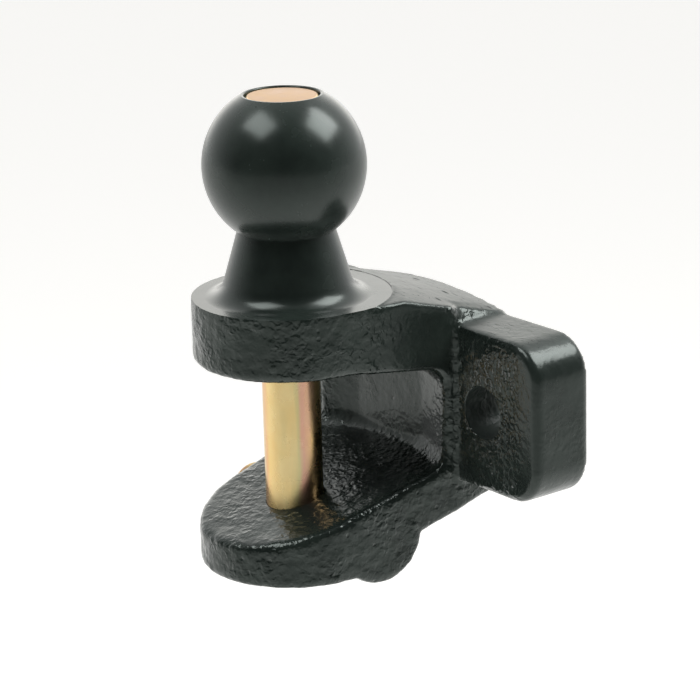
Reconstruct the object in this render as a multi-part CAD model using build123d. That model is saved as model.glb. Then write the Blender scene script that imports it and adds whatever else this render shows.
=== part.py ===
from build123d import *

import os
from math import radians, sqrt, tan

# Two-bolt trailer hitch: a tow ball and a drawbar jaw in one iron casting, with a drop-in tow pin
# that passes down through the ball, and a turning cross shaft that locks the pin.
# Millimetres. Origin: centre of the mounting face, midway between the two bolt holes.
# +Y points out of the mounting face towards the vehicle, +Z up, the ball and jaws lie towards -Y.

# ---- Tow ball, neck and upper jaw ----
ball_diameter = 50.0
ball_reach = 59.5  # mounting face to the axis of the ball and pin
ball_height = 76.6  # bolt line to the ball's centre
ball_flat = 21.7  # ball's centre to the flat on its top
neck_top_radius = 15.0
neck_foot_radius = 19.3
neck_foot_rise = 5.2  # disc face to where the neck's taper ends
neck_fillet = 6.5
jaw_radius = 30.0  # nose radius of both jaws about the pin
upper_jaw_top = 36.2
upper_jaw_thickness = 20.1
upper_jaw_gusset = 7.5  # degrees that the underside falls from the pin to the throat
arm_slope = 15.0  # degrees that the arm's top falls to the rear
arm_slope_start = 31.5  # behind the pin's axis
arm_crown_radius = 170.0  # the arm's top is slightly round from side to side
arm_half_width = 33.0  # at the flange

# ---- Lower jaw ----
lower_jaw_top = -28.7  # at the pin's axis
lower_jaw_bottom = -49.3
lower_jaw_slope = 15.0  # degrees, of its upper face and of the underside behind the lug
throat_reach = 40.0  # pin's axis to the back of the throat
throat_radius = 92.0
rear_underside = -30.2  # at the mounting face
heel_lug_radius = 14.5
heel_lug_offset = 11.0  # behind the pin's axis
heel_lug_height = -38.2

# ---- Mounting flange ----
flange_width = 140.0
flange_height = 50.6
flange_thickness = 20.9
flange_corner = 12.0
bolt_spacing = 90.0
bolt_hole_diameter = 16.5  # clears M16

# ---- Edge rounding of the casting ----
throat_fillet = 6.0
mouth_round = 2.5
top_round = 1.2
underside_round = 2.0
flange_front_round = 2.4
flange_rear_round = 1.5

# ---- Tow pin ----
pin_diameter = 18.0
pin_bore_clearance = 0.10  # radial
pin_head_diameter = 22.2
pin_head_length = 12.0
pin_head_clearance = 0.4  # radial, in the ball's counterbore
pin_head_drop = 0.4  # head's face below the ball's flat
pin_tail = 6.0  # beyond the lower jaw's underside
pin_tail_chamfer = 1.5
pin_head_chamfer = 0.6
pin_groove_clearance = 0.30  # radial, about the lock shaft

# ---- Lock shaft in the heel lug ----
lock_offset = 12.5  # pin's axis to the shaft's axis
lock_height = -40.4
shaft_diameter = 12.0
shaft_bore_clearance = 0.05  # radial
shaft_inner_end = 20.0  # X of its blind end
shaft_end_gap = 0.5
shaft_chamfer = 0.8
shaft_scallop_clearance = 0.30  # radial, about the pin
keeper_x = 14.0
keeper_diameter = 6.0
keeper_recess = 0.8  # below the surface of the lug
keeper_dog_diameter = 3.8
keeper_dog_length = 2.0
keeper_dog_clearance = 0.20  # to the sides and floor of the shaft's groove
keeper_socket_width = 3.0
keeper_socket_depth = 3.0

# ---- Handle, washers and roll pin, on the far side ----
spot_face = 29.8  # middle of the casting to the flat cut on the lug's far end
spot_face_margin = 1.0  # beyond the washer, all round
washer_diameter = 17.0
washer_clearance = 0.15  # radial, about the shaft
thrust_washer_thickness = 1.2
bow_washer_thickness = 0.5
bow_washer_height = 1.3
bow_washer_gap = 0.05  # to the thrust washer
hub_diameter = 17.4
hub_length = 7.5
handle_length = 36.0  # shaft's axis to the centre of the grip
handle_width = 11.0
handle_thickness = 6.0
grip_diameter = 14.0
handle_round = 1.2
roll_pin_diameter = 4.0
roll_pin_wall = 0.8
roll_pin_slot = 0.8
roll_pin_inset = 0.5  # each end below the hub's surface

# ---- Places worked out from the sizes above ----
pin_y = -ball_reach
upper_jaw_bottom = upper_jaw_top - upper_jaw_thickness
ball_top = ball_height + ball_flat
head_top = ball_top - pin_head_drop
head_seat = head_top - pin_head_length
pin_end = lower_jaw_bottom - pin_tail
throat_y = pin_y + throat_reach
arm_top_start = pin_y + arm_slope_start
lug_y = pin_y + heel_lug_offset
lock_y = pin_y + lock_offset
pin_radius = pin_diameter / 2
shaft_radius = shaft_diameter / 2
shaft_bore_radius = shaft_radius + shaft_bore_clearance
washer_hole_radius = shaft_radius + washer_clearance
slope_rise = tan(radians(lower_jaw_slope))
keeper_top = lock_height - shaft_radius - keeper_dog_clearance
lug_bottom = heel_lug_height - sqrt(heel_lug_radius**2 - (lock_offset - heel_lug_offset) ** 2)
thrust_washer_x = -spot_face - thrust_washer_thickness
bow_washer_x = thrust_washer_x - bow_washer_gap - bow_washer_height
hub_x = bow_washer_x - hub_length
hub_middle = bow_washer_x - hub_length / 2

# ---- Helpers for cutting and for picking edges ----
past = 5.0  # how far a cutting tool runs beyond a face
crown_length = 2 * flange_width  # of the bar that rounds the arm's top, well past both its ends
rim_share = 0.9  # of the jaw radius: edges farther out belong to the outline
near = 1.0  # tolerance when edges are picked by their place


def side_prism(points, half_width):
    """A closed outline in the YZ plane, drawn out to both sides."""
    return extrude(Plane.YZ * make_face(Polyline(*points, close=True)), half_width, both=True)


def bar_x(radius, x_from, x_to, y=lock_y, z=lock_height):
    """A round bar or bore along X."""
    turned = Rot(0, 90, 0) * Cylinder(radius, abs(x_to - x_from))
    return Pos((x_from + x_to) / 2, y, z) * turned


def bar_z(radius, z_from, z_to, x=0.0, y=pin_y):
    """A round bar or bore along Z."""
    return Pos(x, y, (z_from + z_to) / 2) * Cylinder(radius, abs(z_to - z_from))


def rim_edges(solid, y_limit):
    """Edges that run round the outline of the jaws, without the upright seams in front of y_limit."""
    outer = rim_share * jaw_radius
    uprights = solid.edges().filter_by(Axis.Z)
    rim = []
    for edge in solid.edges():
        middle = edge.center()
        outside = abs(middle.X) > outer or middle.Y < pin_y - outer
        seam = edge in uprights and not lug_y < middle.Y < y_limit
        if outside and not seam:
            rim.append(edge)
    return rim


def make_jaws():
    """Upper jaw, arm, throat and lower jaw as one C-shaped block."""
    nose = Pos(0, pin_y) * Circle(jaw_radius)
    root = Pos(0, -flange_thickness / 2) * Rectangle(2 * arm_half_width, flange_thickness)
    floor = lower_jaw_bottom - heel_lug_radius
    plan = Pos(0, 0, floor) * extrude(make_hull(nose.edges() + root.edges()), upper_jaw_top - floor)
    front = pin_y - jaw_radius - past
    lug_underside = rear_underside + slope_rise * lug_y
    side = side_prism(
        [
            (front, upper_jaw_top),
            (0, upper_jaw_top),
            (0, rear_underside),
            (lug_y, lug_underside),
            (lug_y, lower_jaw_bottom),
            (front, lower_jaw_bottom),
        ],
        arm_half_width,
    )
    lug = bar_x(heel_lug_radius, -arm_half_width, arm_half_width, lug_y, heel_lug_height)
    crown_bar = Pos(0, 0, -arm_crown_radius) * Rot(90, 0, 0) * Cylinder(arm_crown_radius, crown_length)
    crown = Pos(0, arm_top_start, upper_jaw_top) * Rot(-arm_slope, 0, 0) * crown_bar
    return plan & (side + lug) & crown


def mouth_floor_at(y):
    """Height of the lower jaw's upper face."""
    return lower_jaw_top + slope_rise * (y - pin_y)


def make_mouth():
    """The open space between the jaws, closed at the back by a shallow hollow face."""
    front = pin_y - jaw_radius - past
    back = throat_y + past
    gusset = tan(radians(upper_jaw_gusset))
    space = side_prism(
        [
            (front, upper_jaw_bottom),
            (pin_y, upper_jaw_bottom),
            (back, upper_jaw_bottom - gusset * (back - pin_y)),
            (back, mouth_floor_at(back)),
            (front, mouth_floor_at(front)),
        ],
        arm_half_width + past,
    )
    space = space & bar_z(throat_radius, lower_jaw_bottom, upper_jaw_top, 0, throat_y - throat_radius)
    at_throat = space.edges().filter_by(GeomType.LINE, reverse=True)
    return fillet(at_throat, throat_fillet)


def make_flange():
    """The two-bolt mounting flange, its front edges rounded."""
    outline = Plane.XZ * RectangleRounded(flange_width, flange_height, flange_corner)
    flange = extrude(outline, flange_thickness)
    flange = fillet(flange.edges().group_by(Axis.Y)[0], flange_front_round)
    return fillet(flange.edges().group_by(Axis.Y)[-1], flange_rear_round)


def make_neck():
    """The turned neck, from the disc face up into the ball, with its foot fillet."""
    neck_end = ball_height - ball_flat
    taper = (neck_foot_radius - neck_top_radius) / (neck_end - upper_jaw_top - neck_foot_rise)
    foot_radius = neck_foot_radius + taper * neck_foot_rise
    profile = make_face(
        Polyline(
            (0, upper_jaw_bottom + past),
            (jaw_radius - mouth_round, upper_jaw_bottom + past),
            (jaw_radius - mouth_round, upper_jaw_top),
            (foot_radius, upper_jaw_top),
            (neck_top_radius, neck_end),
            (neck_top_radius, ball_height),
            (0, ball_height),
            close=True,
        )
    )
    foot = profile.vertices().sort_by_distance((foot_radius, upper_jaw_top))[0]
    return Pos(0, pin_y) * revolve(Plane.XZ * fillet(foot, neck_fillet), Axis.Z)


def make_ball():
    """The 50 mm ball with its flat top."""
    above = Pos(0, 0, ball_flat + ball_diameter / 2) * Box(ball_diameter, ball_diameter, ball_diameter)
    return Pos(0, pin_y, ball_height) * (Sphere(ball_diameter / 2) - above)


def make_casting():
    """The iron casting with its ball and neck, before it is bored."""
    jaws = make_jaws() - make_mouth()
    rim = rim_edges(jaws, throat_y - near)
    above_floor = [e for e in rim if e.center().Z > mouth_floor_at(e.center().Y) - near]
    jaws = fillet([e for e in above_floor if e.center().Z < upper_jaw_bottom + near], mouth_round)
    rim = rim_edges(jaws, lug_y)
    jaws = fillet([e for e in rim if e.center().Z > upper_jaw_bottom + mouth_round + near], top_round)
    rim = rim_edges(jaws, lug_y)
    under_rim = [e for e in rim if e.center().Z < mouth_floor_at(e.center().Y) - mouth_round - near]
    jaws = fillet(under_rim, underside_round)
    return jaws + make_flange() + make_neck() + make_ball()


def make_hitch_body():
    """The casting bored for the pin, the lock shaft, the keeper screw and the two bolts."""
    body = make_casting()
    body -= bar_z(pin_radius + pin_bore_clearance, lug_bottom - past, ball_top)
    body -= bar_z(pin_head_diameter / 2 + pin_head_clearance, head_seat, ball_top + past)
    body -= bar_x(shaft_bore_radius, -arm_half_width - past, shaft_inner_end + shaft_end_gap)
    body -= bar_x(washer_diameter / 2 + spot_face_margin, -arm_half_width - past, -spot_face)
    body -= bar_z(keeper_diameter / 2, lug_bottom - past, lock_height, keeper_x, lock_y)
    for side in (-1, 1):
        hole = Plane.XZ * Pos(side * bolt_spacing / 2, 0) * Circle(bolt_hole_diameter / 2)
        body -= extrude(hole, flange_thickness + past, both=True)
    return body


def make_tow_pin():
    """Headed pin with a round groove that the lock shaft turns into."""
    shank = bar_z(pin_radius, pin_end, head_seat)
    shank = chamfer(shank.edges().group_by(Axis.Z)[0], pin_tail_chamfer)
    head = bar_z(pin_head_diameter / 2, head_seat, head_top)
    head = chamfer(head.edges().group_by(Axis.Z)[-1], pin_head_chamfer)
    section = Pos(lock_offset, lock_height) * Circle(shaft_radius + pin_groove_clearance)
    groove = Pos(0, pin_y) * revolve(Plane.XZ * section, Axis.Z)
    return shank + head - groove


def make_lock_shaft():
    """Cross shaft: a scallop that lets the pin pass when released, and the keeper's ring groove."""
    shaft = bar_x(shaft_radius, hub_x, shaft_inner_end)
    shaft = chamfer(shaft.edges().filter_by(GeomType.CIRCLE), shaft_chamfer)
    scallop_half = shaft_radius + past
    scallop_radius = pin_radius + shaft_scallop_clearance
    shaft -= bar_z(scallop_radius, lock_height - scallop_half, lock_height + scallop_half)
    half_width = keeper_dog_diameter / 2 + keeper_dog_clearance
    ring = bar_x(shaft_radius + past, keeper_x - half_width, keeper_x + half_width)
    ring -= bar_x(shaft_radius - keeper_dog_length, keeper_x - half_width, keeper_x + half_width)
    shaft -= ring
    return shaft - bar_z(roll_pin_diameter / 2, *roll_pin_span(), hub_middle, lock_y)


def roll_pin_span():
    """Lowest and highest point of the roll pin."""
    half = hub_diameter / 2 - roll_pin_inset
    return lock_height - half, lock_height + half


def make_lock_handle():
    """Flat lever forged in one piece with its hub; it points to the rear when released."""
    grip_y = lock_y + handle_length
    lever_x = hub_x + handle_thickness
    hub = bar_x(hub_diameter / 2, hub_x, bow_washer_x)
    bar = Pos((hub_x + lever_x) / 2, (lock_y + grip_y) / 2, lock_height)
    lever = bar * Box(handle_thickness, handle_length, handle_width)
    lever += bar_x(grip_diameter / 2, hub_x, lever_x, grip_y)
    lever = fillet(lever.edges().group_by(Axis.X)[0], handle_round)
    handle = hub + lever - bar_x(shaft_bore_radius, hub_x - past, bow_washer_x + past)
    low, high = lock_height - hub_diameter, lock_height + hub_diameter
    return handle - bar_z(roll_pin_diameter / 2, low, high, hub_middle, lock_y)


def make_handle_roll_pin():
    """Slotted spring pin through the hub and the shaft."""
    low, high = roll_pin_span()
    pin = bar_z(roll_pin_diameter / 2, low, high, hub_middle, lock_y)
    pin -= bar_z(roll_pin_diameter / 2 - roll_pin_wall, low - past, high + past, hub_middle, lock_y)
    slot = Box(roll_pin_diameter, roll_pin_slot, high - low + past)
    return pin - Pos(hub_middle - roll_pin_diameter / 2, lock_y, lock_height) * slot


def washer(x_from, x_to):
    return bar_x(washer_diameter / 2, x_from, x_to) - bar_x(washer_hole_radius, x_from - past, x_to + past)


def make_thrust_washer():
    """Plain washer against the faced end of the lug."""
    return washer(thrust_washer_x, -spot_face)


def make_bow_washer():
    """Curved spring washer; its crown bears on the thrust washer and its ends on the hub."""
    crown = bow_washer_x + bow_washer_height
    rise = bow_washer_height - bow_washer_thickness
    bend = ((washer_diameter / 2) ** 2 + rise**2) / (2 * rise)
    low, high = lock_height - washer_diameter, lock_height + washer_diameter
    shell = bar_z(bend, low, high, crown - bend, lock_y)
    shell -= bar_z(bend - bow_washer_thickness, low, high, crown - bend, lock_y)
    return washer(bow_washer_x, crown) & shell


def make_keeper_screw():
    """Dog-point set screw from below, with a hexagon socket."""
    foot = lug_bottom + keeper_recess
    screw = bar_z(keeper_diameter / 2, foot, keeper_top, keeper_x, lock_y)
    screw += bar_z(keeper_dog_diameter / 2, keeper_top, keeper_top + keeper_dog_length, keeper_x, lock_y)
    socket = RegularPolygon(keeper_socket_width / 2, 6, major_radius=False)
    return screw - Pos(keeper_x, lock_y, foot) * extrude(socket, keeper_socket_depth)


pieces = {
    "hitch_body": make_hitch_body(),
    "tow_pin": make_tow_pin(),
    "lock_shaft": make_lock_shaft(),
    "lock_handle": make_lock_handle(),
    "handle_roll_pin": make_handle_roll_pin(),
    "thrust_washer": make_thrust_washer(),
    "bow_washer": make_bow_washer(),
    "keeper_screw": make_keeper_screw(),
}

os.makedirs("parts", exist_ok=True)
for name, piece in pieces.items():
    export_step(piece, f"parts/{name}.step")
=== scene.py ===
from math import acos, cos, pi, radians, sin, sqrt, tan

import bmesh
import bpy
import numpy as np
from mathutils import Matrix, Vector


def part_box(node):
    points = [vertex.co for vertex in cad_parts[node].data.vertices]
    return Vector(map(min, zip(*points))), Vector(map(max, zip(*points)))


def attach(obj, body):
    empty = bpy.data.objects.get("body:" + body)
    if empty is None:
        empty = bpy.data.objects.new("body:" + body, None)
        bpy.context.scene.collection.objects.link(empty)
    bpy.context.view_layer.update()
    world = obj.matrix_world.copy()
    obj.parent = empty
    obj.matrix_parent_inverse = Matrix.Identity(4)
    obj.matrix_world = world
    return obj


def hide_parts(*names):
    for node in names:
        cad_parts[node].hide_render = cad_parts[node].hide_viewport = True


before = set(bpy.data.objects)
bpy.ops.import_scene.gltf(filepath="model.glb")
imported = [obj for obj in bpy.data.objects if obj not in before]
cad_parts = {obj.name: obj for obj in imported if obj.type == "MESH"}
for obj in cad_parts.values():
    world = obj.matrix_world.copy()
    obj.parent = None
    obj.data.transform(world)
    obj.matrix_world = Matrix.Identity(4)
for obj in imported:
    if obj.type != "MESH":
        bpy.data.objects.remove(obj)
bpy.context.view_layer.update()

# ---- Hitch casting ----
# One iron sand casting carries both jaws, the arm and the two-bolt flange. The sand leaves its skin
# lumpy and pitted, and only the disc under the ball, the mounting face, the lug's spot face and the
# holes are machined. Everything is then sprayed gloss black.

mm = 0.001
pin_low, pin_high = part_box("tow_pin")
body_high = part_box("hitch_body")[1]
shaft_low, shaft_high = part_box("lock_shaft")
thrust_low, thrust_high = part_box("thrust_washer")
screw_low, screw_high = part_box("keeper_screw")
pin_y = (pin_low.y + pin_high.y) / 2
shaft_y = (shaft_low.y + shaft_high.y) / 2
shaft_z = (shaft_low.z + shaft_high.z) / 2

disc_z = 36.2 * mm  # machined face round the neck's foot
disc_cut_radius = 31.8 * mm
upper_jaw_under = 16.1 * mm
lower_jaw_top = -28.7 * mm
lower_jaw_slope = tan(radians(15.0))
pin_bore_radius = 9.1 * mm
washer_radius = (thrust_high.z - thrust_low.z) / 2
spot_face_x = thrust_high.x
spot_face_radius = washer_radius + 1.0 * mm
shaft_bore_radius = 6.05 * mm
shaft_bore_end = 20.5 * mm
bolt_x = 45.0 * mm
bolt_hole_radius = 8.25 * mm
flange_thickness = 20.9 * mm
chamfer = 0.4 * mm  # at the mouths of the drilled holes
machining_allowance = 0.5 * mm
disc_allowance = 1.4 * mm
casting_grid = 0.8 * mm  # spacing of the mesh that carries the sand texture


def linear(hex_colour):
    """An sRGB hex colour as linear red, green, blue and alpha."""
    parts = [int(hex_colour[i : i + 2], 16) / 255 for i in (1, 3, 5)]
    return [c / 12.92 if c <= 0.04045 else ((c + 0.055) / 1.055) ** 2.4 for c in parts] + [1.0]


def add(tree, kind, inputs=None, **settings):
    """Adds a node with its settings; each input is a number or the output socket that feeds it."""
    node = tree.nodes.new(kind)
    for name, value in settings.items():
        setattr(node, name, value)
    for name, value in (inputs or {}).items():
        if isinstance(value, bpy.types.NodeSocket):
            tree.links.new(value, node.inputs[name])
        else:
            node.inputs[name].default_value = value
    return node


def turn(bm, profile, place, steps=96):
    """Turns an outline of (radius, height) points about the Z axis of place."""
    rings = []
    for radius, height in profile:
        if radius < 1e-9:
            rings.append([bm.verts.new(place @ Vector((0, 0, height)))])
            continue
        ring = []
        for i in range(steps):
            angle = 2 * pi * i / steps
            ring.append(bm.verts.new(place @ Vector((radius * cos(angle), radius * sin(angle), height))))
        rings.append(ring)
    pairs = list(zip(rings, rings[1:]))
    if profile[0][0] > 1e-9:
        pairs.append((rings[-1], rings[0]))
    for low, high in pairs:
        for i in range(steps):
            j = (i + 1) % steps
            corners = [low[i % len(low)], low[j % len(low)], high[j % len(high)], high[i % len(high)]]
            bm.faces.new(list(dict.fromkeys(corners)))


def rounded(points, radii, steps=5):
    """An outline of (radius, height) points with its corners rounded: one radius for each point."""
    outline = []
    for i, (point, radius) in enumerate(zip(points, radii)):
        corner = Vector(point)
        if radius == 0:
            outline.append(tuple(corner))
            continue
        before = (Vector(points[i - 1]) - corner).normalized()
        after = (Vector(points[(i + 1) % len(points)]) - corner).normalized()
        half = acos(max(-1.0, min(1.0, before.dot(after)))) / 2
        reach = radius / tan(half)
        middle = corner + (before + after).normalized() * radius / sin(half)
        first = corner + before * reach - middle
        last = corner + after * reach - middle
        turns_left = first.x * last.y > first.y * last.x
        sweep = (pi - 2 * half) * (1 if turns_left else -1)
        for k in range(steps + 1):
            outline.append(tuple(middle + Matrix.Rotation(sweep * k / steps, 2) @ first))
    return outline


def along_x(y, z):
    return Matrix.Translation((0, y, z)) @ Matrix.Rotation(pi / 2, 4, "Y")


def along_z(x, y):
    return Matrix.Translation((x, y, 0))


def along_y(x, z):
    return Matrix.Translation((x, 0, z)) @ Matrix.Rotation(-pi / 2, 4, "X")


def bar(radius, start, end):
    return [(0, start), (radius, start), (radius, end), (0, end)]


def new_piece(name, bm):
    """A closed mesh as an object, its doubles merged and its faces pointing out."""
    bmesh.ops.remove_doubles(bm, verts=bm.verts, dist=1e-7)
    bmesh.ops.recalc_face_normals(bm, faces=bm.faces)
    mesh = bpy.data.meshes.new(name)
    bm.to_mesh(mesh)
    bm.free()
    piece = bpy.data.objects.new(name, mesh)
    bpy.context.scene.collection.objects.link(piece)
    return piece


def apply_modifiers(piece):
    """The piece's shape as a plain mesh, with no modifier left on it."""
    depsgraph = bpy.context.evaluated_depsgraph_get()
    shape = bpy.data.meshes.new_from_object(piece.evaluated_get(depsgraph))
    piece.modifiers.clear()
    piece.data = shape


def cut(piece, cutters):
    """Takes the cutters away from the piece, one after the other."""
    for bm in cutters:
        tool = new_piece("cutter", bm)
        boolean = piece.modifiers.new("cut", "BOOLEAN")
        boolean.operation = "DIFFERENCE"
        boolean.solver = "MANIFOLD"
        boolean.object = tool
        apply_modifiers(piece)
        bpy.data.objects.remove(tool)


def turned_cutter(profile, place, steps=96):
    bm = bmesh.new()
    turn(bm, profile, place, steps)
    return bm


def smooth(piece, angle):
    """Smooth shading that keeps the edges sharper than angle degrees."""
    piece.data.shade_smooth()
    piece.data.set_sharp_from_angle(angle=radians(angle))


def copy_of(node):
    """A merged copy of a CAD node's mesh."""
    bm = bmesh.new()
    bm.from_mesh(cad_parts[node].data)
    bmesh.ops.remove_doubles(bm, verts=bm.verts, dist=1e-6)
    return bm


def melt(piece, grid, passes):
    """Rebuilds the piece on an even grid and softens its edges, as on a casting or a forging."""
    remesh = piece.modifiers.new("grid", "REMESH")
    remesh.mode = "VOXEL"
    remesh.voxel_size = grid
    remesh.adaptivity = 0.0
    soften = piece.modifiers.new("soften", "SMOOTH")
    soften.factor = 0.5
    soften.iterations = passes
    apply_modifiers(piece)


def places_of(elements, name="co"):
    """The places of a mesh's vertices, or of its faces' centres, as rows of x, y and z."""
    values = np.zeros(len(elements) * 3)
    elements.foreach_get(name, values)
    return values.reshape(-1, 3)


def normals_of(elements):
    return places_of(elements, "normal")


def ramp(values, start, end):
    """Runs smoothly from 0 at start to 1 at end."""
    t = np.clip((values - start) / (end - start), 0, 1)
    return t * t * (3 - 2 * t)


# The rough casting: the CAD shape with its holes filled again, as it comes out of the sand.
rough = copy_of("hitch_body")
plug = pin_bore_radius + 0.2 * mm
slope = Matrix(((1, 0, 0, 0), (0, 1, 0, 0), (0, lower_jaw_slope, 1, 0), (0, 0, 0, 1)))
turn(rough, bar(plug, upper_jaw_under, disc_z + 20 * mm), along_z(0, pin_y))
turn(rough, bar(plug, lower_jaw_top - 16 * mm, lower_jaw_top), along_z(0, pin_y) @ slope)
lug_plug_radius = spot_face_radius + 0.3 * mm
turn(rough, bar(lug_plug_radius, spot_face_x - 0.5 * mm, shaft_bore_end + 1 * mm), along_x(shaft_y, shaft_z))
for side in (-1, 1):
    turn(rough, bar(bolt_hole_radius + 0.2 * mm, -flange_thickness, 0), along_y(side * bolt_x, 0))
casting = new_piece("cast_body", rough)
melt(casting, casting_grid, 3)

# Metal left on for machining, and how lumpy the skin is from place to place.
spots = places_of(casting.data.vertices)
x, y, z = spots.T
directions = normals_of(casting.data.vertices)
from_pin = np.hypot(x, y - pin_y)
flange_top = 25.3 * mm
shoulder = ramp(np.abs(x), 26 * mm, 32.5 * mm) * ramp(y, -22.0 * mm, -17.0 * mm) * (z > flange_top)
x = x - np.sign(x) * 0.5 * (z - flange_top) * shoulder * (np.abs(x) < 36 * mm)
disc_rim = ramp(z, disc_z - 1.9 * mm, disc_z - 1.1 * mm) * (1 - ramp(from_pin, 29.5 * mm, 32.6 * mm))
z = z + disc_allowance * disc_rim
y = y + (y > -0.4 * mm) * machining_allowance
casting.data.vertices.foreach_set("co", np.stack([x, y, z], 1).ravel())


def lumpiness(points, normals):
    """How strongly the sand marked the skin, from 0 to 1, at the given points."""
    x, y, z = points.T
    ny, nz = normals.T[1:]
    arm_side = ramp(np.abs(x), 20 * mm, 25 * mm) * ramp(y, -52 * mm, -42 * mm) * ramp(z, 0, 12 * mm)
    throat = ramp(-ny, 0.6, 0.85) * ramp(y, -30 * mm, -25 * mm) * (1 - ramp(np.abs(x), 22 * mm, 30 * mm))
    amount = 1 - 0.75 * arm_side * (1 - ramp(y, -26 * mm, -20 * mm))
    amount -= 0.75 * ramp(np.abs(x), 57 * mm, 65 * mm)
    amount -= 0.75 * ramp(nz, 0.6, 0.9) * ramp(z, 15 * mm, 22 * mm)
    amount -= 0.6 * throat
    amount -= 0.3 * ramp(-nz, 0.5, 0.9)
    amount -= 0.35 * ramp(nz, 0.7, 0.95) * ramp(-z, 0, 10 * mm)
    return np.clip(amount, 0.2, 1)


marks = lumpiness(spots, directions)
casting.data.attributes.new("lumpiness", "FLOAT", "POINT").data.foreach_set("value", marks)

# The sand's lumps and ripples push the skin in and out along its own direction.
skin_tree = bpy.data.node_groups.new("sand_skin", "GeometryNodeTree")
sockets = {}
for name, kind, value in (
    ("Geometry", "NodeSocketGeometry", None),
    ("Lump Height", "NodeSocketFloat", 0.6 * mm),
    ("Lump Size", "NodeSocketFloat", 5.5 * mm),
    ("Ripple Height", "NodeSocketFloat", 0.45 * mm),
    ("Ripple Size", "NodeSocketFloat", 2.7 * mm),
    ("Seed", "NodeSocketFloat", 3.0),
    ("Material", "NodeSocketMaterial", None),
):
    item = skin_tree.interface.new_socket(name, in_out="INPUT", socket_type=kind)
    sockets[name] = (item.identifier, value)
skin_tree.interface.new_socket("Geometry", in_out="OUTPUT", socket_type="NodeSocketGeometry")
given = add(skin_tree, "NodeGroupInput").outputs
where = add(skin_tree, "GeometryNodeInputPosition").outputs[0]
outward = add(skin_tree, "GeometryNodeInputNormal").outputs["Normal"]
named = add(skin_tree, "GeometryNodeInputNamedAttribute", {"Name": "lumpiness"}, data_type="FLOAT")
amount = named.outputs[0]
push = None
for height, size, distortion, detail in (
    ("Lump Height", "Lump Size", 0.4, 1.0),
    ("Ripple Height", "Ripple Size", 0.35, 1.0),
):
    per_metre = add(skin_tree, "ShaderNodeMath", {0: 1.0, 1: given[size]}, operation="DIVIDE").outputs[0]
    noise = add(
        skin_tree,
        "ShaderNodeTexNoise",
        {
            "Vector": where,
            "W": given["Seed"],
            "Scale": per_metre,
            "Detail": detail,
            "Distortion": distortion,
        },
        noise_dimensions="4D",
    ).outputs[0]
    centred = add(skin_tree, "ShaderNodeMath", {0: noise, 1: -0.68}, operation="ADD").outputs[0]
    term = add(skin_tree, "ShaderNodeMath", {0: centred, 1: given[height]}, operation="MULTIPLY").outputs[0]
    if push is None:
        push = term
    else:
        push = add(skin_tree, "ShaderNodeMath", {0: push, 1: term}, operation="ADD").outputs[0]
push = add(skin_tree, "ShaderNodeMath", {0: push, 1: amount}, operation="MULTIPLY").outputs[0]
shift = add(
    skin_tree, "ShaderNodeVectorMath", {0: outward, "Scale": push}, operation="SCALE"
).outputs[0]
moved = add(skin_tree, "GeometryNodeSetPosition", {"Geometry": given["Geometry"], "Offset": shift})
real = add(skin_tree, "GeometryNodeRealizeInstances", {"Geometry": moved.outputs[0]})
dressed = add(
    skin_tree, "GeometryNodeSetMaterial", {"Geometry": real.outputs[0], "Material": given["Material"]}
)
add(skin_tree, "NodeGroupOutput", {0: dressed.outputs[0]})

# Gloss black paint over cast iron: near black with a green-grey cast, even where the metal was
# turned, glossier but pebbled and pitted where it was cast, dulled on the upper faces.
tone_patch = 9 * mm
pebble = 1.9 * mm
flooded_patch = 13 * mm  # where the paint ran together over the pebbles
orange_peel = 0.7 * mm
pit_spacing = 5 * mm
tool_mark = (7 * mm, 0.5 * mm, 0.5 * mm)
sand_dash = (13 * mm, 6 * mm, 6 * mm)
pebble_depth = 0.7 * mm
pit_depth = 0.2 * mm
scratch_depth = 0.3 * mm
peel_depth = 0.03 * mm
glossiest, dullest = 0.24, 0.28
paint = bpy.data.materials.new("gloss_black_on_cast_iron")
paint.use_nodes = True
tree = paint.node_tree
tree.nodes.clear()
spot = add(tree, "ShaderNodeTexCoord").outputs["Object"]
cast = add(tree, "ShaderNodeAttribute", attribute_name="as_cast").outputs["Fac"]
top = add(tree, "ShaderNodeAttribute", attribute_name="flat_top").outputs["Fac"]
tone = add(tree, "ShaderNodeTexNoise", {"Vector": spot, "Scale": 1 / tone_patch, "Detail": 4.0}).outputs[0]
colour = add(tree, "ShaderNodeValToRGB", {"Fac": tone}).outputs["Color"]
stops = colour.node.color_ramp.elements
stops[0].position, stops[0].color = 0.35, linear("#1f2623")
stops[1].position, stops[1].color = 0.70, linear("#28302c")
ripple = add(
    tree, "ShaderNodeTexNoise", {"Vector": spot, "Scale": 1 / pebble, "Detail": 1.5, "Distortion": 0.35}
).outputs[0]
flood = add(
    tree, "ShaderNodeTexNoise", {"Vector": spot, "Scale": 1 / flooded_patch, "Detail": 3.0}
).outputs[0]
pebbled = add(
    tree,
    "ShaderNodeMapRange",
    {"Value": flood, "From Min": 0.40, "From Max": 0.60, "To Min": 0.35, "To Max": 1.0},
).outputs[0]
pebbled = add(tree, "ShaderNodeMath", {0: pebbled, 1: cast}, operation="MULTIPLY").outputs[0]
peel = add(tree, "ShaderNodeTexNoise", {"Vector": spot, "Scale": 1 / orange_peel, "Detail": 2.0}).outputs[0]
cells = add(tree, "ShaderNodeTexVoronoi", {"Vector": spot, "Scale": 1 / pit_spacing, "Randomness": 1.0})
pit = add(
    tree, "ShaderNodeMapRange", {"Value": cells.outputs["Distance"], "From Min": 0.06, "From Max": 0.16}
).outputs[0]
grain_place = add(
    tree, "ShaderNodeMapping", {"Vector": spot, "Scale": tuple(1 / size for size in tool_mark)}
).outputs[0]
grain = add(tree, "ShaderNodeTexNoise", {"Vector": grain_place, "Scale": 1.0, "Detail": 3.0}).outputs[0]
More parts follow.
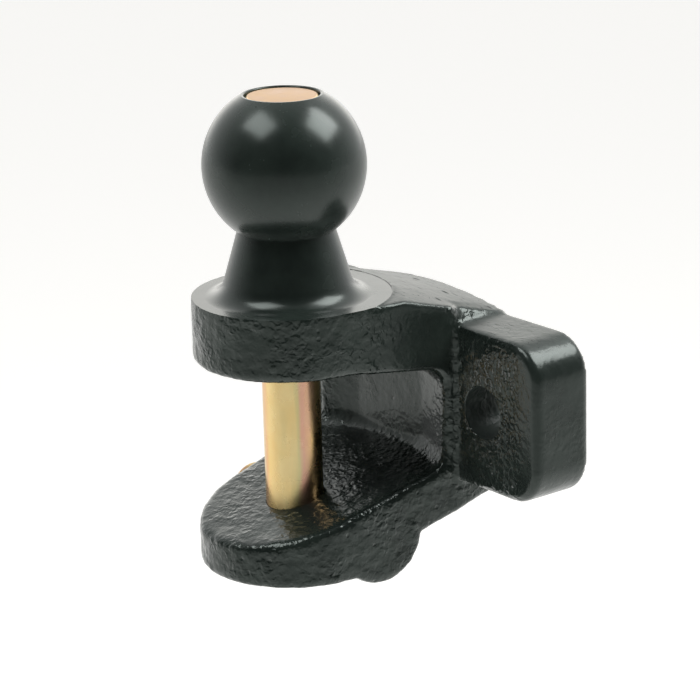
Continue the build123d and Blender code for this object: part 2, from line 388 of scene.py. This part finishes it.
scratch = add(
    tree, "ShaderNodeMapRange", {"Value": grain, "From Min": 0.66, "From Max": 0.72}
).outputs[0]
dash_place = add(
    tree, "ShaderNodeMapping", {"Vector": spot, "Scale": tuple(1 / size for size in sand_dash)}
).outputs[0]
dash = add(tree, "ShaderNodeTexVoronoi", {"Vector": dash_place, "Scale": 1.0, "Randomness": 1.0})
dash = add(
    tree, "ShaderNodeMapRange", {"Value": dash.outputs["Distance"], "From Min": 0.16, "From Max": 0.08}
).outputs[0]
scratch = add(tree, "ShaderNodeMath", {0: scratch, 1: dash}, operation="MAXIMUM").outputs[0]
scratch = add(tree, "ShaderNodeMath", {0: scratch, 1: top}, operation="MULTIPLY").outputs[0]
shadowed = add(tree, "ShaderNodeMix", {"Factor": scratch}, data_type="RGBA")
tree.links.new(colour, shadowed.inputs[6])
shadowed.inputs[7].default_value = linear("#070807")
colour = shadowed.outputs[2]
hole = add(tree, "ShaderNodeAttribute", attribute_name="in_hole").outputs["Fac"]
roughened = add(tree, "ShaderNodeMath", {0: scratch, 1: hole}, operation="MAXIMUM").outputs[0]
roughened = add(tree, "ShaderNodeMath", {0: roughened, 1: 0.45}, operation="MULTIPLY").outputs[0]
ripple = add(tree, "ShaderNodeMath", {0: ripple, 1: pebbled}, operation="MULTIPLY").outputs[0]
peel = add(tree, "ShaderNodeMath", {0: peel, 1: cast}, operation="MULTIPLY").outputs[0]
pit = add(tree, "ShaderNodeMath", {0: pit, 1: cast}, operation="MULTIPLY").outputs[0]
skin = add(tree, "ShaderNodeBump", {"Height": ripple, "Strength": 1.0, "Distance": pebble_depth}).outputs[0]
skin = add(
    tree, "ShaderNodeBump", {"Height": pit, "Strength": 0.8, "Distance": pit_depth, "Normal": skin}
).outputs[0]
skin = add(
    tree,
    "ShaderNodeBump",
    {"Height": scratch, "Strength": 0.8, "Distance": scratch_depth, "Normal": skin},
    invert=True,
).outputs[0]
skin = add(
    tree, "ShaderNodeBump", {"Height": peel, "Strength": 0.35, "Distance": peel_depth, "Normal": skin}
).outputs[0]
dulled = add(
    tree,
    "ShaderNodeMapRange",
    {"Value": tone, "From Min": 0.3, "From Max": 0.7, "To Min": glossiest, "To Max": dullest},
).outputs[0]
dull_top = add(tree, "ShaderNodeMath", {0: top, 1: 0.20}, operation="MULTIPLY").outputs[0]
dulled = add(tree, "ShaderNodeMath", {0: dulled, 1: dull_top}, operation="ADD").outputs[0]
pooled = add(tree, "ShaderNodeMath", {0: cast, 1: -0.11}, operation="MULTIPLY").outputs[0]
dulled = add(tree, "ShaderNodeMath", {0: dulled, 1: pooled}, operation="ADD").outputs[0]
dulled = add(tree, "ShaderNodeMath", {0: dulled, 1: roughened}, operation="ADD").outputs[0]
shader = add(
    tree,
    "ShaderNodeBsdfPrincipled",
    {
        "Base Color": colour,
        "Roughness": dulled,
        "IOR": 1.5,
        "Specular Tint": linear("#e9f6f0"),
        "Normal": skin,
        "Coat Weight": 0.1,
        "Coat Roughness": 0.18,
        "Coat Normal": skin,
    },
).outputs[0]
add(tree, "ShaderNodeOutputMaterial", {"Surface": shader})

skin_modifier = casting.modifiers.new("sand_skin", "NODES")
skin_modifier.node_group = skin_tree
for name, (identifier, value) in sockets.items():
    if value is not None:
        skin_modifier[identifier] = value
skin_modifier[sockets["Material"][0]] = paint
apply_modifiers(casting)

# Machining: the disc is faced, the mounting face and the spot face are milled, the holes are drilled.
far = 120 * mm
front_face = -flange_thickness
drill = bolt_hole_radius
bolt_profile = [
    (0, -far),
    (drill + chamfer, -far),
    (drill + chamfer, front_face),
    (drill, front_face + chamfer),
    (drill, -chamfer),
    (drill + chamfer, 0),
    (drill + chamfer, 5 * mm),
    (0, 5 * mm),
]
mounting = bmesh.new()
bmesh.ops.create_cube(mounting, size=1.0)
bmesh.ops.scale(mounting, vec=(200 * mm, 10 * mm, 100 * mm), verts=mounting.verts)
bmesh.ops.translate(mounting, vec=(0, 5 * mm, 0), verts=mounting.verts)
spot_profile = [
    (0, -far),
    (spot_face_radius, -far),
    (spot_face_radius, spot_face_x),
    (shaft_bore_radius + chamfer, spot_face_x),
    (shaft_bore_radius, spot_face_x + chamfer),
    (shaft_bore_radius, shaft_bore_end),
    (0, shaft_bore_end + 2 * mm),
]
screw_x = (screw_low.x + screw_high.x) / 2
screw_radius = (screw_high.x - screw_low.x) / 2
cut(
    casting,
    [
        turned_cutter(bar(disc_cut_radius, disc_z, body_high.z + 10 * mm), along_z(0, pin_y), 160),
        mounting,
        turned_cutter(bar(pin_bore_radius, -far, far), along_z(0, pin_y)),
        turned_cutter(bolt_profile, along_y(bolt_x, 0)),
        turned_cutter(bolt_profile, along_y(-bolt_x, 0)),
        turned_cutter(spot_profile, along_x(shaft_y, shaft_z)),
        turned_cutter(bar(screw_radius, -far, shaft_z), along_z(screw_x, shaft_y), 32),
    ],
)
if not casting.data.materials:
    casting.data.materials.append(paint)
centres = places_of(casting.data.polygons, "center")
x, y, z = centres.T
from_pin = np.hypot(x, y - pin_y)
machined = (np.abs(z - disc_z) < 0.02 * mm) & (from_pin < disc_cut_radius + 0.1 * mm)
machined |= y > -0.02 * mm
machined |= np.abs(x - spot_face_x) < 0.02 * mm
machined |= from_pin < pin_bore_radius + 0.02 * mm
directions = normals_of(casting.data.polygons)
as_cast = lumpiness(centres, directions) * (1 - machined)
casting.data.attributes.new("as_cast", "FLOAT", "FACE").data.foreach_set("value", as_cast)
in_hole = np.hypot(np.abs(x) - bolt_x, z) < bolt_hole_radius + 0.02 * mm
casting.data.attributes.new("in_hole", "FLOAT", "FACE").data.foreach_set("value", in_hole.astype(float))
flat_top = ramp(directions[:, 2], 0.75, 0.95) * ramp(z, 15 * mm, 22 * mm) * (1 - machined)
casting.data.attributes.new("flat_top", "FLOAT", "FACE").data.foreach_set("value", flat_top)
smooth(casting, 38)
milled = (np.abs(directions) > 0.999).any(axis=1) & machined
casting.data.polygons.foreach_set("use_smooth", ~milled)
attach(casting, "hitch")
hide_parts("hitch_body")

# ---- Tow ball and neck ----
# The ball and its tapered neck are turned on the same casting and painted with it: a 50 mm ball with
# a flat top, a counterbore for the pin's head, and a large fillet that runs out into the disc.

ball_radius = 25.0 * mm
ball_z = 76.6 * mm
ball_flat_z = body_high.z
counterbore_radius = 11.5 * mm
counterbore_z = ball_flat_z - 12.4 * mm
neck_top_radius = 15.0 * mm
neck_foot_radius = 20.96 * mm
neck_fillet = 6.5 * mm
rim_round = 0.5 * mm
ball_steps = 72

below_disc = 1.5 * mm
arc_start = acos((ball_flat_z - ball_z) / ball_radius)
crease_drop = sqrt(ball_radius**2 - neck_top_radius**2)
arc_end = pi - acos(crease_drop / ball_radius)
foot_end = 27.5 * mm
neck_line = [
    (pin_bore_radius, disc_z - below_disc),
    (foot_end, disc_z - below_disc),
    (foot_end, disc_z - 0.01 * mm),
    (neck_foot_radius, disc_z),
    (neck_top_radius, ball_z - crease_drop),
]
neck_profile = rounded(neck_line, [0, 0, 0, neck_fillet, 0], 24)
ball_arc = []
for k in range(ball_steps + 1):
    angle = arc_end + (arc_start - arc_end) * k / ball_steps
    ball_arc.append((ball_radius * sin(angle), ball_z + ball_radius * cos(angle)))
flat_radius = ball_arc[-1][0]
head_end = rounded(
    [
        ball_arc[-4],
        (flat_radius, ball_flat_z),
        (counterbore_radius, ball_flat_z),
        (counterbore_radius, counterbore_z),
        (pin_bore_radius, counterbore_z),
        (pin_bore_radius, disc_z - below_disc),
    ],
    [0, rim_round, rim_round, 0.3 * mm, 0.3 * mm, 0],
)
profile = neck_profile + ball_arc[1:-4] + head_end[1:-1]
bm = bmesh.new()
turn(bm, profile, along_z(0, pin_y), 192)
ball = new_piece("turned_ball_and_neck", bm)
ball.data.materials.append(paint)
smooth(ball, 25)
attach(ball, "hitch")
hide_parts("hitch_body")

# ---- Keeper screw ----
# A dog-point set screw with a hexagon socket, from below; black oxide leaves the steel dark and
# slightly oily.


def new_metal(name, low_colour, high_colour, roughness, patch):
    """A bare or plated metal whose tone and roughness wander over patches of the given size."""
    material = bpy.data.materials.new(name)
    material.use_nodes = True
    tree = material.node_tree
    tree.nodes.clear()
    spot = add(tree, "ShaderNodeTexCoord").outputs["Object"]
    tone = add(tree, "ShaderNodeTexNoise", {"Vector": spot, "Scale": 1 / patch, "Detail": 4.0}).outputs[0]
    colour = add(tree, "ShaderNodeValToRGB", {"Fac": tone}).outputs["Color"]
    stops = colour.node.color_ramp.elements
    stops[0].position, stops[0].color = 0.35, linear(low_colour)
    stops[1].position, stops[1].color = 0.65, linear(high_colour)
    smoothest, roughest = roughness * 0.8, roughness * 1.25
    gloss = add(
        tree,
        "ShaderNodeMapRange",
        {"Value": tone, "From Min": 0.3, "From Max": 0.7, "To Min": smoothest, "To Max": roughest},
    ).outputs[0]
    grit_size = 0.4 * mm
    grit = add(tree, "ShaderNodeTexNoise", {"Vector": spot, "Scale": 1 / grit_size, "Detail": 2.0}).outputs[0]
    skin = add(tree, "ShaderNodeBump", {"Height": grit, "Strength": 0.3, "Distance": 0.02 * mm}).outputs[0]
    shader = add(
        tree,
        "ShaderNodeBsdfPrincipled",
        {"Base Color": colour, "Metallic": 1.0, "Roughness": gloss, "Normal": skin},
    ).outputs[0]
    add(tree, "ShaderNodeOutputMaterial", {"Surface": shader})
    return material


def dress(node, material):
    """Gives a CAD node its finish."""
    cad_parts[node].data.materials.clear()
    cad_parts[node].data.materials.append(material)


black_oxide = new_metal("black_oxide_on_steel", "#26272a", "#35363a", 0.38, 4 * mm)
dress("keeper_screw", black_oxide)

# ---- Lock shaft ----
# Turned steel cross shaft, zinc plated and yellow passivated like the pin; only its end shows, in
# the handle's hub.


def new_yellow_zinc(name, roughness, axis):
    """Yellow-passivated zinc: gold with pink and green bloom, over fine turning lines about an axis."""
    material = new_metal(name, "#e2bd7c", "#f6dda6", roughness, 10 * mm)
    tree = material.node_tree
    shader = next(n for n in tree.nodes if n.type == "BSDF_PRINCIPLED")
    gold = shader.inputs["Base Color"].links[0].from_socket
    spot = add(tree, "ShaderNodeTexCoord").outputs["Object"]
    wide, tall = 1 / (5 * mm), 1 / (34 * mm)
    scale = (tall, wide, wide) if axis == "X" else (wide, wide, tall)
    streaks = add(tree, "ShaderNodeMapping", {"Vector": spot, "Scale": scale}).outputs[0]
    bloom = add(
        tree, "ShaderNodeTexNoise", {"Vector": streaks, "Scale": 1.0, "Detail": 6.0, "Distortion": 0.5}
    ).outputs[0]
    tints = add(tree, "ShaderNodeValToRGB", {"Fac": bloom}, label="bloom").outputs["Color"]
    stops = tints.node.color_ramp.elements
    stops[0].position, stops[0].color = 0.30, linear("#d99a8c")
    stops[1].position, stops[1].color = 0.72, linear("#b9c08c")
    middle = stops.new(0.5)
    middle.color = linear("#e8c88c")
    mixed = add(tree, "ShaderNodeMix", data_type="RGBA")
    mixed.inputs["Factor"].default_value = 0.6
    tree.links.new(gold, mixed.inputs[6])
    tree.links.new(tints, mixed.inputs[7])
    tree.links.new(mixed.outputs[2], shader.inputs["Base Color"])
    across = 1 / (0.35 * mm)
    along = 1 / (20 * mm)
    scale = (across, along, along) if axis == "X" else (along, along, across)
    lines_place = add(tree, "ShaderNodeMapping", {"Vector": spot, "Scale": scale}).outputs[0]
    lines = add(tree, "ShaderNodeTexNoise", {"Vector": lines_place, "Scale": 1.0, "Detail": 2.0}).outputs[0]
    grit = shader.inputs["Normal"].links[0].from_socket
    turned_skin = add(
        tree, "ShaderNodeBump", {"Height": lines, "Strength": 0.25, "Distance": 0.02 * mm, "Normal": grit}
    ).outputs[0]
    tree.links.new(turned_skin, shader.inputs["Normal"])
    return material


shaft_zinc = new_yellow_zinc("yellow_zinc_on_shaft", 0.3, "X")
dress("lock_shaft", shaft_zinc)

# ---- Washers ----
# A plain zinc washer on the spot face and a curved spring-steel washer that keeps the handle tight.

washer_hole_radius = 6.15 * mm
bright_zinc = new_metal("bright_zinc_on_washer", "#b9bcbf", "#d6d8da", 0.28, 5 * mm)
bm = bmesh.new()
section = rounded(
    [
        (washer_hole_radius, thrust_low.x),
        (washer_radius, thrust_low.x),
        (washer_radius, thrust_high.x),
        (washer_hole_radius, thrust_high.x),
    ],
    [0.15 * mm, 0.25 * mm, 0.1 * mm, 0.1 * mm],
    4,
)
turn(bm, section, along_x(shaft_y, shaft_z))
washer = new_piece("stamped_thrust_washer", bm)
washer.data.materials.append(bright_zinc)
smooth(washer, 50)
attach(washer, "hitch")
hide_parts("thrust_washer")

spring_steel = new_metal("tempered_spring_steel", "#5a5c60", "#7d7f84", 0.32, 3 * mm)
dress("bow_washer", spring_steel)

# ---- Lock handle ----
# Drop-forged steel lever and hub in one piece, its edges soft from the die, zinc plated and yellow
# passivated. Its bore and the roll pin's hole are drilled after forging.

handle_low, handle_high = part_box("lock_handle")
roll_low, roll_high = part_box("handle_roll_pin")
roll_x = (roll_low.x + roll_high.x) / 2
handle_zinc = new_yellow_zinc("yellow_zinc_on_forging", 0.36, "X")

# The casting is sprayed with its lock in place: a dull olive mist of paint lies on the hub's upper
# half, thickest next to the lug.
tree = handle_zinc.node_tree
shader = next(n for n in tree.nodes if n.type == "BSDF_PRINCIPLED")
spot = add(tree, "ShaderNodeTexCoord").outputs["Object"]
apart = add(tree, "ShaderNodeSeparateXYZ", {0: spot}).outputs
near_lug = add(
    tree,
    "ShaderNodeMapRange",
    {"Value": apart["X"], "From Min": handle_low.x - 1 * mm, "From Max": handle_high.x - 1 * mm},
).outputs[0]
upper = add(
    tree,
    "ShaderNodeMapRange",
    {"Value": apart["Z"], "From Min": shaft_z + 3 * mm, "From Max": handle_high.z - 1 * mm},
).outputs[0]
mist = add(tree, "ShaderNodeMath", {0: near_lug, 1: upper}, operation="MULTIPLY").outputs[0]
drop_size = 1.2 * mm
drops = add(tree, "ShaderNodeTexNoise", {"Vector": spot, "Scale": 1 / drop_size, "Detail": 3.0}).outputs[0]
mist = add(tree, "ShaderNodeMath", {0: mist, 1: drops, 2: 0.35}, operation="MULTIPLY_ADD", use_clamp=True)
mist = add(tree, "ShaderNodeMath", {0: mist.outputs[0], 1: upper}, operation="MULTIPLY").outputs[0]
sprayed = add(tree, "ShaderNodeMix", {"Factor": mist}, data_type="RGBA")
tree.links.new(shader.inputs["Base Color"].links[0].from_socket, sprayed.inputs[6])
sprayed.inputs[7].default_value = linear("#2f2d1c")
tree.links.new(sprayed.outputs[2], shader.inputs["Base Color"])
rough = copy_of("lock_handle")
turn(rough, bar(6.3 * mm, handle_low.x, handle_high.x), along_x(shaft_y, shaft_z))
turn(rough, bar(2.2 * mm, roll_low.z - 0.1 * mm, roll_high.z + 0.1 * mm), along_z(roll_x, shaft_y))
handle = new_piece("forged_lock_handle", rough)
melt(handle, 0.35 * mm, 6)
cut(
    handle,
    [
        turned_cutter(bar(shaft_bore_radius, -far, far), along_x(shaft_y, shaft_z)),
        turned_cutter(bar(2.0 * mm, -far, far), along_z(roll_x, shaft_y), 32),
    ],
)
handle.data.materials.clear()
handle.data.materials.append(handle_zinc)
smooth(handle, 40)
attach(handle, "lock")
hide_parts("lock_handle")

# ---- Roll pin ----
# Rolled spring-steel pin with a slot along its length, driven through the hub and the shaft.

dress("handle_roll_pin", spring_steel)

# ---- Tow pin ----
# Turned steel pin with a larger head, zinc plated and yellow passivated: gold with a pink and green
# bloom, and fine turning lines on the head's face.

head_radius = 11.1 * mm
pin_radius = 9.0 * mm
head_seat_z = pin_high.z - 12.0 * mm
groove_offset = 12.5 * mm
groove_radius = 6.3 * mm
groove_z = shaft_z
tail_chamfer = 1.5 * mm
groove = []
sweep = acos((groove_offset - pin_radius) / groove_radius)
for k in range(13):
    angle = -sweep + 2 * sweep * k / 12
    groove.append((groove_offset - groove_radius * cos(angle), groove_z + groove_radius * sin(angle)))
profile = [(0, pin_low.z), (pin_radius - tail_chamfer, pin_low.z), (pin_radius, pin_low.z + tail_chamfer)]
profile += groove
profile += [(pin_radius, head_seat_z), (head_radius, head_seat_z)]
profile += [(head_radius, pin_high.z - 0.6 * mm), (head_radius - 0.6 * mm, pin_high.z), (0, pin_high.z)]
tail_rounds = [0, 0.3 * mm, 0.3 * mm]
head_rounds = [0, 0.2 * mm, 0.2 * mm, 0.2 * mm, 0]
profile = rounded(profile, tail_rounds + [0] * len(groove) + head_rounds, 3)
bm = bmesh.new()
turn(bm, profile, along_z(0, pin_y), 128)
tow_pin = new_piece("turned_tow_pin", bm)
pin_zinc = new_yellow_zinc("yellow_zinc_on_pin", 0.26, "Z")
tow_pin.data.materials.append(pin_zinc)

# The bloom lies in upright bands where the pin drained after its bath: the ramp runs once round it.
tree = pin_zinc.node_tree
bloom = next(n for n in tree.nodes if n.label == "bloom")
blotches = bloom.inputs["Fac"].links[0].from_socket
spot = add(tree, "ShaderNodeTexCoord").outputs["Object"]
centred = add(tree, "ShaderNodeMapping", {"Vector": spot, "Location": (0, -pin_y, 0)}).outputs[0]
round_pin = add(tree, "ShaderNodeTexGradient", {"Vector": centred}, gradient_type="RADIAL").outputs["Fac"]
wander = add(tree, "ShaderNodeMath", {0: blotches, 1: -0.5}, operation="ADD").outputs[0]
wander = add(tree, "ShaderNodeMath", {0: wander, 1: 0.26}, operation="MULTIPLY").outputs[0]
band = add(tree, "ShaderNodeMath", {0: round_pin, 1: wander}, operation="ADD").outputs[0]
tree.links.new(band, bloom.inputs["Fac"])
stops = bloom.color_ramp.elements
while len(stops) > 1:
    stops.remove(stops[-1])
for place, tint in (
    (0.0, "#f0cf92"),
    (0.10, "#cfcc98"),
    (0.20, "#e4a884"),
    (0.27, "#f6d490"),
    (0.36, "#fbe4a4"),
    (0.42, "#d4d09c"),
    (0.475, "#e3a0a2"),
    (0.55, "#e8bc84"),
    (0.70, "#d0cd9a"),
    (0.82, "#e2a79a"),
    (1.0, "#f0cf92"),
):
    stop = stops[0] if place == 0.0 else stops.new(place)
    stop.position, stop.color = place, linear(tint)
face_zinc = new_metal("yellow_zinc_on_turned_face", "#b4967a", "#c8ac8c", 0.5, 6 * mm)
tree = face_zinc.node_tree
spot = add(tree, "ShaderNodeTexCoord").outputs["Object"]
centred = add(tree, "ShaderNodeMapping", {"Vector": spot, "Location": (0, -pin_y, 0)}).outputs[0]
rings = add(
    tree,
    "ShaderNodeTexWave",
    {"Vector": centred, "Scale": 0.314 / (0.5 * mm), "Distortion": 0.6, "Detail": 2.0},
    wave_type="RINGS",
    rings_direction="Z",
).outputs["Fac"]
shader = next(n for n in tree.nodes if n.type == "BSDF_PRINCIPLED")
grit = shader.inputs["Normal"].links[0].from_socket
cut_lines = add(
    tree, "ShaderNodeBump", {"Height": rings, "Strength": 0.5, "Distance": 0.02 * mm, "Normal": grit}
).outputs[0]
tree.links.new(cut_lines, shader.inputs["Normal"])
tow_pin.data.materials.append(face_zinc)
for face in tow_pin.data.polygons:
    if abs(face.normal.z) > 0.9 and face.center.z > head_seat_z + 1 * mm:
        face.material_index = 1
smooth(tow_pin, 35)
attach(tow_pin, "tow_pin")
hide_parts("tow_pin")

# ---- Studio ----
# A plain pale floor, two large softboxes above and to both sides of the camera, a bright wall behind
# the hitch and a dark room behind the camera. The floor glows with painted light: faint on the camera's side
# and brighter behind the hitch, it lights the hitch from below and shows in its reflections. The camera
# itself sees an even pale backdrop and floor.

right = Vector((0.61637, 0.78707, -0.02471))
above = Vector((-0.21725, 0.20013, 0.95538))
ahead = Vector((-0.75689, 0.58350, -0.29434))
camera_place = Vector((689.58, -567.92, 281.36)) * mm
camera_data = bpy.data.cameras.new("camera")
camera_data.lens = 150.11
camera_data.sensor_width = 36.0
camera_data.clip_end = 20.0
camera = bpy.data.objects.new("camera", camera_data)
turned_to = Matrix((right, above, -ahead)).transposed().to_4x4()
camera.matrix_world = Matrix.Translation(camera_place) @ turned_to
bpy.context.scene.collection.objects.link(camera)
bpy.context.scene.camera = camera

floor_z = -400.0 * mm
floor_half = 6.0
bm = bmesh.new()
bmesh.ops.create_grid(bm, x_segments=1, y_segments=1, size=floor_half)
bmesh.ops.translate(bm, vec=(0, 0, floor_z), verts=bm.verts)
floor = new_piece("floor", bm)
glowing_floor = bpy.data.materials.new("white_paper_painted_glow")
glowing_floor.use_nodes = True
tree = glowing_floor.node_tree
tree.nodes.clear()
# Painted light: the paper glows as if it were a lamp, faintly towards the camera and brighter behind the
# hitch; camera rays see it glow evenly at the brighter level.
spot = add(tree, "ShaderNodeTexCoord").outputs["Object"]
level = Vector((ahead.x, ahead.y, 0)).normalized()
to_back = tuple(level)
behind = add(tree, "ShaderNodeVectorMath", {0: spot, 1: to_back}, operation="DOT_PRODUCT")
front_glow, back_glow = 0.08, 0.45
lit = add(
    tree,
    "ShaderNodeMapRange",
    {
        "Value": behind.outputs["Value"],
        "From Min": -0.9,
        "From Max": 0.3,
        "To Min": front_glow,
        "To Max": back_glow,
    },
).outputs[0]
seen = add(tree, "ShaderNodeLightPath").outputs["Is Camera Ray"]
lit = add(
    tree, "ShaderNodeMix", {"Factor": seen, "A": lit, "B": back_glow}, data_type="FLOAT"
).outputs["Result"]
shader = add(
    tree,
    "ShaderNodeBsdfPrincipled",
    {
        "Base Color": linear("#f4f4f2"),
        "Roughness": 0.9,
        "Emission Color": linear("#fffefc"),
        "Emission Strength": lit,
    },
).outputs[0]
add(tree, "ShaderNodeOutputMaterial", {"Surface": shader})
floor.data.materials.append(glowing_floor)

ball_place = Vector((0, pin_y, ball_z))
lamp_distance = 0.9
for name, a, b, c, size, power in (
    ("softbox_left", -0.469, 0.756, 0.455, (0.6, 0.42), 4.1),
    ("softbox_right", 0.678, 0.715, 0.170, (0.6, 0.5), 7.0),
):
    toward = (right * a + above * b - ahead * c).normalized()
    lamp = bpy.data.lights.new(name, "AREA")
    lamp.shape = "RECTANGLE"
    lamp.size, lamp.size_y = size
    lamp.energy = power
    holder = bpy.data.objects.new(name, lamp)
    aimed = toward.to_track_quat("Z", "Y").to_matrix().to_4x4()
    holder.matrix_world = Matrix.Translation(ball_place + toward * lamp_distance) @ aimed
    bpy.context.scene.collection.objects.link(holder)

world = bpy.data.worlds.new("studio")
bpy.context.scene.world = world
world.use_nodes = True
tree = world.node_tree
tree.nodes.clear()
heading = add(tree, "ShaderNodeTexCoord").outputs["Generated"]
facing = add(tree, "ShaderNodeVectorMath", {0: heading, 1: to_back}, operation="DOT_PRODUCT")
shade = add(
    tree, "ShaderNodeMapRange", {"Value": facing.outputs["Value"], "From Min": -1.0, "From Max": 1.0}
).outputs[0]
walls = add(tree, "ShaderNodeValToRGB", {"Fac": shade}).outputs["Color"]
wall_brightness = 2.3
stops = walls.node.color_ramp.elements
for place, grey in ((0.3, 0.02), (0.5, 0.16), (0.86, 0.46)):
    stops.new(place).color = (grey, grey, grey, 1)
stops[0].color = (0.01, 0.01, 0.01, 1)
stops[-1].color = (1.0, 0.98, 0.94, 1)
glow = add(tree, "ShaderNodeBackground", {"Color": walls, "Strength": wall_brightness}).outputs[0]
backdrop = add(tree, "ShaderNodeBackground", {"Color": linear("#fbfbfa"), "Strength": 1.0}).outputs[0]
seen = add(tree, "ShaderNodeLightPath").outputs["Is Camera Ray"]
shown = add(tree, "ShaderNodeMixShader", {0: seen, 1: glow, 2: backdrop}).outputs[0]
add(tree, "ShaderNodeOutputWorld", {"Surface": shown})
bpy.context.scene.view_settings.view_transform = "Standard"
